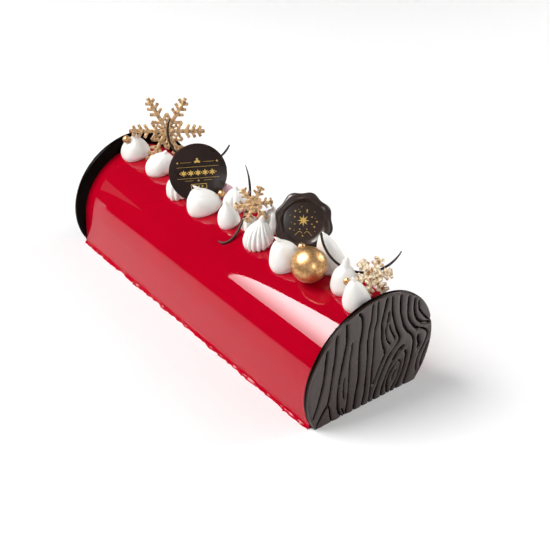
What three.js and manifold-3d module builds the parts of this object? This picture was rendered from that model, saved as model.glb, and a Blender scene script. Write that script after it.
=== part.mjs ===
// Yule log cake. A half-round log with a poured mirror glaze lies between two dark chocolate end
// discs cast with a wood grain. Along its crown stand piped meringue kisses, gilded chocolate
// snowflakes, two chocolate plaques, thin chocolate curls, a gold ball and small gold pearls.
// Millimetres. X runs along the log, Y across it, Z up; the origin is under the middle of the log.

import * as THREE from 'three';
import { mergeVertices } from 'three/addons/utils/BufferGeometryUtils.js';
import Module from 'manifold-3d';

const wasm = await Module();
wasm.setup();

// ---- Driving dimensions -------------------------------------------------------------------------

const LOG_LENGTH = 228.5;
const LOG_HALF_WIDTH = 39.6;
const LOG_HEIGHT = 61.5;
const FOOT_SPREAD = 3.4; // the glaze pools outwards where it reaches the bottom
const FOOT_HEIGHT = 5;

const DISC_HALF_WIDTH = 46;
const DISC_HALF_HEIGHT = 45.2;
const DISC_CENTRE_Z = 25.4;
const DISC_THICKNESS = 3;
const GRAIN_PITCH = 5.5;
const GRAIN_DEPTH = 0.9;

const FIT_GAP = 0.3; // left between pieces that touch
const FLAKE_THICKNESS = 2;
const PLAQUE_RADIUS = 17.6;
const PLAQUE_THICKNESS = 2.2;
const SEAL_RADIUS = 16.2;
const SEAL_THICKNESS = 4.4;
const CURL_THICKNESS = 1.4;
const RIDGE_DEPTH = 0.17; // of a star-piped kiss, as a share of its radius
const RIDGE_TWIST = 0.35;
const BALL_RADIUS = 10;

const deg = THREE.MathUtils.degToRad;

// ---- Materials ----------------------------------------------------------------------------------

function food(name, color, roughness, metalness = 0) {
  const material = new THREE.MeshStandardMaterial({ color, roughness, metalness });
  material.name = name;
  return material;
}

const redGlaze = food('red_mirror_glaze', 0xb40a20, 0.08);
const darkChocolate = food('dark_chocolate', 0x3a2b27, 0.4);
const meringue = food('meringue', 0xf3f0ea, 0.6);
const pinkMeringue = food('pink_meringue', 0xdcb4be, 0.6);
const goldLustre = food('gold_lustre', 0xb98a4c, 0.35, 0.8);

// ---- Solid helpers ------------------------------------------------------------------------------

const cake = new THREE.Group();
cake.name = 'yule_log_cake';

function toSolid(geometry) {
  const bare = geometry.clone();
  for (const name of Object.keys(bare.attributes)) {
    if (name !== 'position') bare.deleteAttribute(name);
  }
  const merged = mergeVertices(bare, 1e-4);
  return new wasm.Manifold(new wasm.Mesh({
    numProp: 3,
    vertProperties: new Float32Array(merged.attributes.position.array),
    triVerts: new Uint32Array(merged.index.array),
  }));
}

// A cut can leave crumbs behind: only the largest body is the piece.
function largestBody(solid) {
  const bodies = solid.decompose();
  bodies.sort((a, b) => b.volume() - a.volume());
  return bodies[0];
}

function toGeometry(solid) {
  const { vertProperties, triVerts, numProp } = solid.getMesh();
  const geometry = new THREE.BufferGeometry();
  const positions = new Float32Array((vertProperties.length / numProp) * 3);
  for (let i = 0; i < positions.length / 3; i += 1) {
    for (let k = 0; k < 3; k += 1) positions[3 * i + k] = vertProperties[numProp * i + k];
  }
  geometry.setAttribute('position', new THREE.BufferAttribute(positions, 3));
  geometry.setIndex(new THREE.BufferAttribute(new Uint32Array(triVerts), 1));
  geometry.computeVertexNormals();
  return geometry;
}

function addPiece(name, solid, material) {
  const mesh = new THREE.Mesh(toGeometry(largestBody(solid)), material);
  mesh.name = name;
  cake.add(mesh);
}

// Height of the glazed surface at a distance y from the log's centre line.
function crownHeight(y, clearance = 0) {
  const radius = LOG_HALF_WIDTH + clearance;
  return LOG_HEIGHT - LOG_HALF_WIDTH + Math.sqrt(Math.max(radius * radius - y * y, 0));
}

// ---- The glazed log -----------------------------------------------------------------------------
// One uncut block of cake and mousse under a poured glaze: vertical sides that turn into a half
// round, with the glaze spread into a thin foot along both long sides.

function logSection(grow) {
  const half = LOG_HALF_WIDTH + grow;
  const foot = [
    [half + FOOT_SPREAD, 0],
    [half + 0.75 * FOOT_SPREAD, 0.2 * FOOT_HEIGHT],
    [half + 0.3 * FOOT_SPREAD, 0.4 * FOOT_HEIGHT],
    [half + 0.05 * FOOT_SPREAD, 0.7 * FOOT_HEIGHT],
    [half, FOOT_HEIGHT],
  ];
  const section = new THREE.Shape();
  section.moveTo(-foot[0][0], 0);
  for (const [y, z] of foot) section.lineTo(y, z);
  section.absarc(0, LOG_HEIGHT - LOG_HALF_WIDTH, half, 0, Math.PI, false);
  for (const [y, z] of foot.reverse()) section.lineTo(-y, z);
  return section;
}

// Turns a shape drawn in x, y and extruded along z so that it lies in Y, Z and runs along X.
const ALONG_LOG = new THREE.Matrix4().makeBasis(
  new THREE.Vector3(0, 1, 0),
  new THREE.Vector3(0, 0, 1),
  new THREE.Vector3(1, 0, 0),
);

function logSolid(grow = 0) {
  const geometry = new THREE.ExtrudeGeometry(logSection(grow), {
    depth: LOG_LENGTH,
    curveSegments: 24,
    bevelEnabled: false,
  });
  geometry.translate(0, 0, -LOG_LENGTH / 2);
  geometry.applyMatrix4(ALONG_LOG);
  return toSolid(geometry);
}

addPiece('glazed_log', logSolid(), redGlaze);
const logAndGap = logSolid(FIT_GAP);

// ---- End discs ----------------------------------------------------------------------------------
// Dark chocolate cast in a wood-grain mould: a round disc with a flat cut to stand on. The grain
// lines are the level lines of a field that rises across the disc and is pushed round a few knots.

const KNOTS = [
  { y: 9, z: 47, wide: 3.6, tall: 12, lean: -0.34, lift: 1.9 },
  { y: 19.5, z: 8, wide: 6.8, tall: 17, lean: 0.25, lift: 4.5 },
  { y: 35.5, z: 28, wide: 3.8, tall: 6.5, lean: -0.1, lift: 1.9 },
  { y: -34, z: 4, wide: 8, tall: 12, lean: 0.35, lift: 1.5 },
];

function softStep(x, width) {
  return width * Math.log1p(Math.exp(x / width));
}

function grainPhase(y, z) {
  const sway = 0.9 * Math.sin(z / 17 + 0.6) + 0.5 * Math.sin(z / 8.5 + y / 14);
  let phase = (y + sway) / GRAIN_PITCH + 0.0062 * softStep(y - 9, 3) * softStep(z - 33, 5);
  for (const knot of KNOTS) {
    const u = (y - knot.y - knot.lean * (z - knot.z)) / knot.wide;
    const v = (z - knot.z) / knot.tall;
    phase += knot.lift * Math.exp(-u * u - v * v);
  }
  return phase;
}

// Ridge height from 0 in a groove to 1 on a ridge.
function grainHeight(y, z) {
  return 0.5 - 0.5 * Math.cos(2 * Math.PI * grainPhase(y, z));
}

function discSolid() {
  const width = 2 * DISC_HALF_WIDTH + 2;
  const height = DISC_CENTRE_Z + DISC_HALF_HEIGHT + 4;
  const depth = 2 * DISC_THICKNESS;
  const slab = new THREE.BoxGeometry(width, height, depth, 52, 11, 1);
  slab.translate(0, height / 2 - 2, DISC_THICKNESS - depth / 2);
  const position = slab.attributes.position;
  for (let i = 0; i < position.count; i += 1) {
    if (position.getZ(i) > 0) {
      const valley = 1 - grainHeight(position.getX(i), position.getY(i));
      position.setZ(i, DISC_THICKNESS - GRAIN_DEPTH * valley);
    }
  }
  const flatAngle = Math.asin(DISC_CENTRE_Z / DISC_HALF_HEIGHT);
  const outline = new THREE.Shape();
  outline.absellipse(
    0, DISC_CENTRE_Z, DISC_HALF_WIDTH, DISC_HALF_HEIGHT, -flatAngle, Math.PI + flatAngle, false, 0,
  );
  outline.closePath();
  const prism = new THREE.ExtrudeGeometry(outline, {
    depth,
    curveSegments: 28,
    bevelEnabled: false,
  });
  const geometry = toGeometry(toSolid(slab).intersect(toSolid(prism)));
  geometry.applyMatrix4(ALONG_LOG);
  return geometry;
}

function addDisc(name, turn) {
  const disc = discSolid();
  disc.translate(LOG_LENGTH / 2, 0, 0);
  disc.rotateZ(turn);
  addPiece(name, toSolid(disc), darkChocolate);
}

addDisc('end_disc_near', 0);
addDisc('end_disc_far', Math.PI);

// ---- Meringue kisses ----------------------------------------------------------------------------
// Piped in one press of the bag: a full foot that draws up into a small peak. A plain nozzle
// leaves them smooth and a star nozzle gives them ridges. Each settles on the curved crown.

const KISS_LEVELS = [0, 0.1, 0.26, 0.43, 0.57, 0.69, 0.8, 0.91, 1];

// radius and height of the kiss; full: how square its shoulders are, shoulder: the share of the
// height that they reach and close: how gently they run out into the peak; tip: how wide the peak
// is; peak: how far the tip leans in X and Y and bend: how late it does so;
// stretch: longer along heading than across it; ridges: how many a star nozzle left.
const KISSES = [
  { name: 'kiss_01', x: -103.9, y: -6.8, radius: 9.7, height: 16.7, peak: [0, -1], shoulder: 0.76 },
  { name: 'kiss_02', x: -77.4, y: -6.4, radius: 9.3, height: 14.5, peak: [3, 3], full: 2.7 },
  { name: 'kiss_03', x: -47.6, y: -10.8, radius: 9.2, height: 15, peak: [1, 1], ridges: 13 },
  {
    name: 'kiss_04', x: -22.8, y: -10.6, radius: 9, height: 15.2, peak: [-4.5, -5.5],
    full: 2.8, bend: 4, stretch: 1.2, heading: 50,
  },
  { name: 'kiss_05', x: -11.3, y: 4.1, radius: 8.6, height: 15, peak: [0, 0], ridges: 8 },
  {
    name: 'kiss_06', x: -0.3, y: -9, radius: 6.9, height: 14.6, peak: [-1.6, -1.9],
    full: 2.6, shoulder: 0.96, close: 1.25,
  },
  {
    name: 'kiss_07', x: 26.9, y: -8.9, radius: 9.2, height: 18, peak: [1, 1],
    full: 2.1, shoulder: 0.84, close: 0.8, ridges: 16,
  },
  { name: 'kiss_08', x: 20, y: 6.8, radius: 8.2, height: 15.5, peak: [0, 0], ridges: 9 },
  { name: 'kiss_09', x: 12.6, y: -3, radius: 6.2, height: 9, peak: [0, 0], ridges: 8 },
  {
    name: 'kiss_10', x: 52.3, y: -9.9, radius: 9.3, height: 17, peak: [-4.5, -5.5],
    full: 2.8, bend: 4,
  },
  {
    name: 'kiss_11', x: 72.4, y: 7.6, radius: 9.4, height: 22.5, peak: [-6.4, -4.4],
    full: 1.3, shoulder: 0.97, bend: 1.2,
  },
  {
    name: 'kiss_12', x: 90.9, y: -2.1, radius: 7.2, height: 20.9, peak: [0.1, 0.1],
    full: 2.9, shoulder: 0.74, tip: 1.5,
  },
  {
    name: 'kiss_13', x: 105.4, y: -5.4, radius: 8.2, height: 17.3, peak: [-2.4, -2.9],
    full: 1.5, shoulder: 0.88,
  },
  { name: 'kiss_14', x: -29.6, y: 9.4, radius: 6.6, height: 8.2, peak: [0.7, 0.9], pink: true },
  { name: 'kiss_15', x: -56, y: 8.5, radius: 8.6, height: 15.5, peak: [1, 0] },
  { name: 'kiss_16', x: 37, y: 18, radius: 8.4, height: 17, peak: [0, -1] },
];

// Half width of a kiss at a share of its height: a dome that runs out into a narrow peak.
function kissWidth(level, { full = 2.2, shoulder = 0.86, close = 0.6, tip = 1 }) {
  const dome = Math.max(1 - (level / shoulder) ** full, 0) ** close;
  const peak = 0.62 * tip * level * Math.max(1 - level, 0) ** 0.55;
  const foot = 1 - 0.17 * (1 - Math.min(level / 0.22, 1)) ** 2;
  return foot * Math.cbrt(dome ** 3 + peak ** 3);
}

function kissGeometry(kiss, grow = 0) {
  const { ridges = 0, stretch = 1, heading = 0, bend = 1.6 } = kiss;
  const segments = ridges ? 2 * ridges : 16;
  const radius = kiss.radius + grow;
  const height = kiss.height + grow;
  const floor = FIT_GAP - grow;
  const outline = [new THREE.Vector2(0, 0), new THREE.Vector2(0.45 * radius, 0)];
  for (const level of KISS_LEVELS) {
    const width = kissWidth(level, kiss) * radius;
    outline.push(new THREE.Vector2(width, level * height));
  }
  outline[outline.length - 1].x = 0;
  const geometry = new THREE.LatheGeometry(outline, segments);
  geometry.rotateX(Math.PI / 2);
  const position = geometry.attributes.position;
  const along = new THREE.Vector2(Math.cos(deg(heading)), Math.sin(deg(heading)));
  for (let i = 0; i < position.count; i += 1) {
    const level = Math.min(Math.max(position.getZ(i) / height, 0), 1);
    const angle = Math.atan2(position.getX(i), -position.getY(i));
    const flat = new THREE.Vector2(position.getX(i), position.getY(i));
    if (ridges) {
      const groove = 1 - Math.abs(Math.sin(0.5 * ridges * angle));
      flat.multiplyScalar(1 - RIDGE_DEPTH * groove);
      flat.rotateAround(new THREE.Vector2(), -RIDGE_TWIST * level);
    }
    flat.addScaledVector(along, (stretch - 1) * flat.dot(along));
    const pull = level ** bend;
    const x = kiss.x + flat.x + kiss.peak[0] * pull;
    const y = kiss.y + flat.y + kiss.peak[1] * pull;
    const seat = THREE.MathUtils.lerp(crownHeight(y), crownHeight(kiss.y), Math.min(3 * level, 1));
    position.setXYZ(i, x, y, seat + floor + level * height);
  }
  return geometry;
}

// Neighbours are pressed together, so each kiss gives way to those piped before it.
const kissesAndGap = [];
for (const kiss of KISSES) {
  let solid = toSolid(kissGeometry(kiss));
  for (const earlier of kissesAndGap) solid = solid.subtract(earlier);
  addPiece(kiss.name, solid, kiss.pink ? pinkMeringue : meringue);
  kissesAndGap.push(toSolid(kissGeometry(kiss, FIT_GAP)));
}

// ---- Standing pieces ----------------------------------------------------------------------------
// Flat castings pushed upright among the kisses. Each is drawn in its own plane, x to its right
// and y up, and set with its face turned to a bearing about Z and tipped back by a lean.

function standAt({ at, bearing, lean, roll = 0 }) {
  const face = new THREE.Vector3(
    Math.cos(deg(lean)) * Math.cos(deg(bearing)),
    Math.cos(deg(lean)) * Math.sin(deg(bearing)),
    Math.sin(deg(lean)),
  );
  const up = new THREE.Vector3(0, 0, 1).addScaledVector(face, -face.z).normalize();
  const right = new THREE.Vector3().crossVectors(up, face);
  const matrix = new THREE.Matrix4().makeBasis(right, up, face);
  matrix.multiply(new THREE.Matrix4().makeRotationZ(deg(roll)));
  matrix.setPosition(at[0], at[1], at[2]);
  return matrix;
}

// A standing piece is cut clear of the log, the kisses and whatever else it leans on.
const standingAndGap = [];
function clearOfNeighbours(solid) {
  let cleared = solid.subtract(logAndGap);
  for (const neighbour of [...kissesAndGap, ...standingAndGap]) cleared = cleared.subtract(neighbour);
  return cleared;
}

// Gilded chocolate snowflakes: six arms with pairs of slanting twigs, joined by a six-pointed star
// that is solid at its hub and, on the large one, open between each two arms. star is the reach of
// its points and twigs are the place and length of each pair, as shares of the reach of the arms.
const SNOWFLAKES = [
  {
    name: 'snowflake_far', at: [-88.7, 7.1, 80.3], bearing: -34, lean: 25, roll: 1,
    reach: 24.6, arm: 2.5, twig: 2, star: 0.5, hub: 4.6, twigs: [[0.48, 0.2], [0.64, 0.19], [0.8, 0.16]],
  },
  {
    name: 'snowflake_middle', at: [14.2, -3.2, 77.9], bearing: -40, lean: 29, roll: 11,
    reach: 11.4, arm: 2.1, twig: 1.4, star: 0.5, twigs: [[0.52, 0.3], [0.78, 0.25]],
  },
  {
    name: 'snowflake_near', at: [100.7, 9.3, 71], bearing: -32, lean: 27, roll: 10,
    reach: 10.9, arm: 2.3, twig: 1.6, star: 0.54, thick: 2.8, twigs: [[0.54, 0.33], [0.8, 0.28]],
  },
];
const TWIG_ANGLE = deg(60);

// One side of an arm that lies along x, from the root of the star out to the arm's tip.
function armSide({ reach, arm, twig, star, twigs }, grow) {
  const edge = arm / 2 + grow;
  const half = twig / 2 + grow;
  const rise = Math.sin(TWIG_ANGLE);
  const run = Math.cos(TWIG_ANGLE);
  const point = star * reach + grow;
  const side = [[point * rise - ((point * run - edge) * run) / rise, edge]];
  for (const [start, length] of twigs) {
    const from = start * reach;
    const out = length * reach + grow;
    side.push([from - half / rise + (edge * run) / rise, edge]);
    side.push([from + out * run - half * rise, out * rise + half * run]);
    side.push([from + out * run + half * rise, out * rise - half * run]);
    side.push([from + half / rise + (edge * run) / rise, edge]);
  }
  const last = side[side.length - 1][0];
  side.push([Math.max(reach + grow - 0.3 * arm, last + 0.05), edge]);
  return side;
}

function turned([x, y], angle) {
  const c = Math.cos(angle);
  const s = Math.sin(angle);
  return new THREE.Vector2(x * c - y * s, x * s + y * c);
}

function snowflakeSolid(flake, grow = 0) {
  const side = armSide(flake, grow);
  const point = flake.star * flake.reach + grow;
  const inner = point - 1.6 * flake.twig;
  const edge = flake.arm / 2 + grow;
  const tangent = Math.cos(TWIG_ANGLE) / Math.sin(TWIG_ANGLE);
  const outline = [];
  const openings = [];
  for (let i = 0; i < 6; i += 1) {
    const angle = i * TWIG_ANGLE;
    outline.push(...side.map(([x, y]) => turned([x, -y], angle)));
    outline.push(turned([flake.reach + grow, 0], angle));
    outline.push(...side.map((p) => turned(p, angle)).reverse());
    outline.push(turned([point, 0], angle + deg(30)));
    if (grow === 0 && flake.hub) {
      const corner = inner * Math.cos(deg(30)) - (inner / 2 - edge) * tangent;
      openings.push(new THREE.Path([
        turned([flake.hub, 0], angle + deg(30)),
        turned([corner, edge], angle),
        turned([inner, 0], angle + deg(30)),
        turned([corner, -edge], angle + deg(60)),
      ]));
    }
  }
  const shape = new THREE.Shape(outline);
  shape.holes.push(...openings);
  const depth = (flake.thick ?? FLAKE_THICKNESS) + 2 * grow;
  const geometry = new THREE.ExtrudeGeometry(shape, { depth, bevelEnabled: false });
  geometry.translate(0, 0, -depth / 2);
  return toSolid(geometry);
}

function placed(solid, matrix) {
  const geometry = toGeometry(solid);
  geometry.applyMatrix4(matrix);
  return toSolid(geometry);
}

for (const flake of SNOWFLAKES) {
  const matrix = standAt(flake);
  addPiece(flake.name, clearOfNeighbours(placed(snowflakeSolid(flake), matrix)), goldLustre);
  standingAndGap.push(placed(snowflakeSolid(flake, FIT_GAP), matrix));
}

// Round plaque: a thin, flat dark chocolate disc.
const ROUND_PLAQUE = { at: [-37.9, -4.8, 75.9], bearing: -36, lean: 27 };

function roundPlaqueSolid(grow = 0) {
  const half = PLAQUE_THICKNESS / 2 + grow;
  const radius = PLAQUE_RADIUS + grow;
  const outline = [
    new THREE.Vector2(0, -half),
    new THREE.Vector2(radius - 0.4, -half),
    new THREE.Vector2(radius, -half + 0.4),
    new THREE.Vector2(radius, half - 0.4),
    new THREE.Vector2(radius - 0.4, half),
    new THREE.Vector2(0, half),
  ];
  const geometry = new THREE.LatheGeometry(outline, 36);
  geometry.rotateX(Math.PI / 2);
  return toSolid(geometry);
}

const plaqueMatrix = standAt(ROUND_PLAQUE);
const plaqueSolid = placed(roundPlaqueSolid(), plaqueMatrix);
addPiece('round_plaque', clearOfNeighbours(plaqueSolid), darkChocolate);
standingAndGap.push(placed(roundPlaqueSolid(FIT_GAP), plaqueMatrix));

// Seal plaque: shaped like poured sealing wax, a lobed outline with a rolled rim round a shallow
// round recess.
const SEAL = { at: [44.1, 8.7, 77.3], bearing: -43, lean: 27, lobes: 8, lobeDepth: 0.7 };

function sealSolid(grow = 0) {
  const half = SEAL_THICKNESS / 2 + grow;
  const radius = SEAL_RADIUS + grow;
  const recess = 11.2;
  const outline = [
    new THREE.Vector2(0, -half),
    new THREE.Vector2(radius - 1, -half),
    new THREE.Vector2(radius, -half + 1.2),
    new THREE.Vector2(radius - 0.5, half - 1.3),
    new THREE.Vector2(radius - 2.2, half),
    new THREE.Vector2(recess + 1.1, half),
  ];
  if (grow) {
    outline.push(new THREE.Vector2(0, half));
  } else {
    outline.push(new THREE.Vector2(recess, half - 1.7), new THREE.Vector2(0, half - 1.7));
  }
  const geometry = new THREE.LatheGeometry(outline, 6 * SEAL.lobes);
  geometry.rotateX(Math.PI / 2);
  const position = geometry.attributes.position;
  for (let i = 0; i < position.count; i += 1) {
    const x = position.getX(i);
    const y = position.getY(i);
    const distance = Math.hypot(x, y);
    if (distance > recess + 0.01) {
      const angle = Math.atan2(y, x);
      const wave = SEAL.lobeDepth * Math.cos(SEAL.lobes * (angle - deg(31)))
        + 0.35 * Math.cos(3 * angle + 0.5);
      const share = (distance - recess) / (radius - recess);
      const scale = (distance + wave * share) / distance;
      position.setXY(i, x * scale, y * scale);
    }
  }
  return toSolid(geometry);
}

const sealMatrix = standAt(SEAL);
addPiece('seal_plaque', clearOfNeighbours(placed(sealSolid(), sealMatrix)), darkChocolate);
standingAndGap.push(placed(sealSolid(FIT_GAP), sealMatrix));

// ---- Gold ball and pearls -----------------------------------------------------------------------

function sphereSolid([x, y, z], radius, around, rings) {
  const geometry = new THREE.SphereGeometry(radius, around, rings);
  geometry.rotateX(Math.PI / 2);
  geometry.translate(x, y, z);
  return toSolid(geometry);
}

const BALL_AT = [72.8, -11.3, 70.9];
addPiece('gold_ball', clearOfNeighbours(sphereSolid(BALL_AT, BALL_RADIUS, 18, 12)), goldLustre);
standingAndGap.push(sphereSolid(BALL_AT, BALL_RADIUS + FIT_GAP, 18, 12));

const PEARLS = [
  { name: 'pearl_1', at: [-104.8, -13.1, 73.1], radius: 2.5 },
  { name: 'pearl_2', at: [-18.4, -1.5, 69.5], radius: 2.15 },
  { name: 'pearl_3', at: [58.4, -4.3, 72.4], radius: 2.2 },
  { name: 'pearl_4', at: [95.9, -5.3, 70.8], radius: 2.1 },
];
for (const pearl of PEARLS) {
  addPiece(pearl.name, clearOfNeighbours(sphereSolid(pearl.at, pearl.radius, 8, 6)), goldLustre);
  standingAndGap.push(sphereSolid(pearl.at, pearl.radius + FIT_GAP, 8, 6));
}

// ---- Chocolate curls ----------------------------------------------------------------------------
// Thin tapered sticks of dark chocolate set on a round mould. Two are arcs of a circle held up
// between the kisses; the third rises from the glaze beside the log's crown.

class ArcCurve extends THREE.Curve {
  constructor(radius, from, to, matrix) {
    super();
    Object.assign(this, { radius, from: deg(from), to: deg(to), matrix });
  }

  getPoint(t, target = new THREE.Vector3()) {
    const angle = THREE.MathUtils.lerp(this.from, this.to, t);
    target.set(this.radius * Math.cos(angle), this.radius * Math.sin(angle), 0);
    return target.applyMatrix4(this.matrix);
  }
}

function curlSolid(curve, steps) {
  const section = new THREE.Shape();
  section.absarc(0, 0, CURL_THICKNESS / 2, 0, 2 * Math.PI, false);
  const geometry = new THREE.ExtrudeGeometry(section, {
    steps,
    curveSegments: 3,
    extrudePath: curve,
    bevelEnabled: false,
  });
  return toSolid(geometry);
}

const CURLS = [
  {
    name: 'curl_far',
    curve: new ArcCurve(19.9, 159, 337, standAt({ at: [-59, 11.5, 90.9], bearing: -36, lean: 25 })),
  },
  {
    name: 'curl_middle',
    curve: new THREE.CatmullRomCurve3([
      new THREE.Vector3(7.4, -22.4, 56.4),
      new THREE.Vector3(10.8, -21, 56.3),
      new THREE.Vector3(12.8, -17.4, 58.4),
      new THREE.Vector3(12, -11.9, 62),
      new THREE.Vector3(8, -3.4, 70.4),
      new THREE.Vector3(6, 0.5, 79),
      new THREE.Vector3(2, 2.3, 87.8),
      new THREE.Vector3(-1.3, 2, 95),
    ]),
  },
  {
    name: 'curl_near',
    curve: new ArcCurve(22.9, 191, 337, standAt({ at: [83.8, 16.1, 89.2], bearing: -47, lean: 30 })),
  },
];
for (const curl of CURLS) {
  addPiece(curl.name, clearOfNeighbours(curlSolid(curl.curve, 14)), darkChocolate);
}

export default cake;
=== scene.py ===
"""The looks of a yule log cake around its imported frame, in the order in which the cake is put together.

Sizes in the sections are in millimetres. X runs along the log, Y across it and Z up.
"""

from math import asin, atan2, cbrt, cos, exp, hypot, pi, radians, sin, sqrt

import bmesh
import bpy
from mathutils import Matrix, Vector, kdtree, noise


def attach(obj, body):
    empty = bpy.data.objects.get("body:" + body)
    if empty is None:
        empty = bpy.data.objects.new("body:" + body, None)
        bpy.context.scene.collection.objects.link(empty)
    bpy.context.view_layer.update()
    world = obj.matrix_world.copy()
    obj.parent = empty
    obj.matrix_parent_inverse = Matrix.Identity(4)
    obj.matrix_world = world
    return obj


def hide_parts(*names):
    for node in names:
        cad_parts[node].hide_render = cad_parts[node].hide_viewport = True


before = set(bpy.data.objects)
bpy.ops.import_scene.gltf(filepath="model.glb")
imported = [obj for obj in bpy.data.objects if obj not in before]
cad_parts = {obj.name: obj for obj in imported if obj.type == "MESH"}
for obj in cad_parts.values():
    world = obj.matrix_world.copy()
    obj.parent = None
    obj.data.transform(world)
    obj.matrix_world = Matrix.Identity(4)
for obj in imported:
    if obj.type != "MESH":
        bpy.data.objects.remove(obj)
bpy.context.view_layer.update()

# ---- The glazed log ------------------------------------------------------------------------------
# A block of sponge and mousse frozen in a half-round gutter mould, turned out and flooded with warm
# red mirror glaze. The glaze sets as a skin a millimetre thick, creeps up a little round everything
# that is pressed into it, and runs down into a thin uneven foot with a few trapped bubbles.

LOG_LENGTH = 228.5
LOG_HALF_WIDTH = 39.6
LOG_HEIGHT = 61.5
ROUND_Z = LOG_HEIGHT - LOG_HALF_WIDTH
FOOT_SPREAD = 3.1
FOOT_HEIGHT = 5.0
FOOT_ZONE = 7.5  # the glaze runs outwards only below this height
BEAD_COUNT = 96
SLICES = 190
RING_HEIGHT = 0.14

# Where the toppings stand on the glaze: x, y, and the radius of the ring that it climbs.
GLAZE_RINGS = [
    (-103.9, -6.8, 9.6), (-77.4, -6.4, 9.2), (-47.6, -10.8, 9.1), (-22.8, -10.6, 9.7),
    (-0.3, -9, 6.9), (26.9, -8.9, 9.0), (52.3, -9.9, 9.4), (90.9, -2.1, 7.4),
    (105.4, -5.4, 8.2), (72.8, -11.3, 6.5),
]


def linear(colour):
    """An sRGB hex colour as linear red, green, blue and alpha."""
    values = [int(colour[i:i + 2], 16) / 255 for i in (1, 3, 5)]
    return [v / 12.92 if v <= 0.04045 else ((v + 0.055) / 1.055) ** 2.4 for v in values] + [1.0]


def add_node(tree, kind, inputs=None, **settings):
    """Adds a node, sets its properties, and fills its sockets with values or links."""
    made = tree.nodes.new(kind)
    for name, value in settings.items():
        setattr(made, name, value)
    for socket, value in (inputs or {}).items():
        if isinstance(value, bpy.types.NodeSocket):
            tree.links.new(value, made.inputs[socket])
        else:
            made.inputs[socket].default_value = value
    return made


def start_material(name, **sockets):
    """A new material, with its node tree, its shader and the object's own coordinates."""
    material = bpy.data.materials.new(name)
    material.use_nodes = True
    tree = material.node_tree
    shader = tree.nodes["Principled BSDF"]
    for socket, value in sockets.items():
        shader.inputs[socket.replace("_", " ")].default_value = value
    place = add_node(tree, "ShaderNodeTexCoord").outputs["Object"]
    return material, tree, shader, place


def mix_colours(tree, share, dark, light):
    """Two colours mixed by a share from 0 to 1."""
    made = add_node(tree, "ShaderNodeMix", {"Factor": share}, data_type="RGBA")
    made.inputs["A"].default_value = linear(dark)
    made.inputs["B"].default_value = linear(light)
    return made.outputs["Result"]


def finish_piece(bm, name, material, slot, *nodes, sharp=40, turned=None):
    """Turns a millimetre bmesh into a finished piece that stands for the given nodes."""
    bmesh.ops.recalc_face_normals(bm, faces=bm.faces)
    if turned is not None:
        bmesh.ops.transform(bm, matrix=turned, verts=bm.verts)
    bmesh.ops.scale(bm, vec=(0.001, 0.001, 0.001), verts=bm.verts)
    mesh = bpy.data.meshes.new(name)
    bm.to_mesh(mesh)
    bm.free()
    mesh.materials.append(material)
    mesh.shade_smooth()
    if sharp:
        mesh.set_sharp_from_angle(angle=radians(sharp))
    piece = bpy.data.objects.new(name, mesh)
    bpy.context.scene.collection.objects.link(piece)
    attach(piece, "root")
    if nodes:
        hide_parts(*nodes)


def crown_height(y):
    """Height of the glaze at a distance y from the middle line."""
    return ROUND_Z + sqrt(max(LOG_HALF_WIDTH ** 2 - y * y, 0))


def foot_reach(x, side):
    """How far the glaze has spread at its foot: fingers with thinner places between them."""
    wave = noise.noise(Vector((x / 11, 4.0 * side, 0.3)))
    finger = noise.noise(Vector((x / 3.6, 9.0 * side, 1.7)))
    return FOOT_SPREAD * min(max(0.66 + 0.34 * wave + 0.42 * finger, 0.18), 1)


def glaze_lift(x, across):
    """Height of the menisci that climb the toppings, and of slow swells in the skin."""
    lift = 0.02 * noise.noise(Vector((x / 34, across / 22, 0.4)))
    for ring_x, ring_y, radius in GLAZE_RINGS:
        away = hypot(x - ring_x, across - ring_y) - radius
        if abs(away) < 6:
            lift += RING_HEIGHT * exp(-((away - 0.2) / 0.9) ** 2)
    return lift


def make_log():
    """The half-round section, drawn out along the log, then let run at its foot and round the top."""
    bm = bmesh.new()
    flank = [(LOG_HALF_WIDTH, FOOT_ZONE * i / 16) for i in range(17)]
    flank += [(LOG_HALF_WIDTH, FOOT_ZONE + (ROUND_Z - FOOT_ZONE) * i / 6) for i in range(1, 6)]
    arch = [(LOG_HALF_WIDTH * cos(pi * i / 132), ROUND_Z + LOG_HALF_WIDTH * sin(pi * i / 132))
            for i in range(133)]
    section = flank + arch + [(-y, z) for y, z in reversed(flank)]
    end = bm.faces.new([bm.verts.new((-LOG_LENGTH / 2, y, z)) for y, z in section])
    grown = bmesh.ops.extrude_face_region(bm, geom=[end])["geom"]
    far = [v for v in grown if isinstance(v, bmesh.types.BMVert)]
    bmesh.ops.translate(bm, vec=(LOG_LENGTH, 0, 0), verts=far)
    long_edges = [e for e in bm.edges if abs(e.verts[0].co.x - e.verts[1].co.x) > 1]
    bmesh.ops.subdivide_edges(bm, edges=long_edges, cuts=SLICES, use_grid_fill=True)
    for v in bm.verts:
        x, y, z = v.co
        side = 1 if y > 0 else -1
        if z < FOOT_ZONE:
            height = FOOT_HEIGHT * (0.75 + 0.5 * noise.noise(Vector((x / 6, side, 2.2))))
            share = max(1 - z / height, 0) ** 2.6
            lip = 1 - 0.25 * exp(-z / 0.35)
            v.co.y = y + side * foot_reach(x, side) * share * lip
        elif z > ROUND_Z:
            across = LOG_HALF_WIDTH * atan2(y, z - ROUND_Z)
            out = glaze_lift(x, across) / LOG_HALF_WIDTH
            v.co.y += y * out
            v.co.z += (z - ROUND_Z) * out
    return bm


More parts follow.
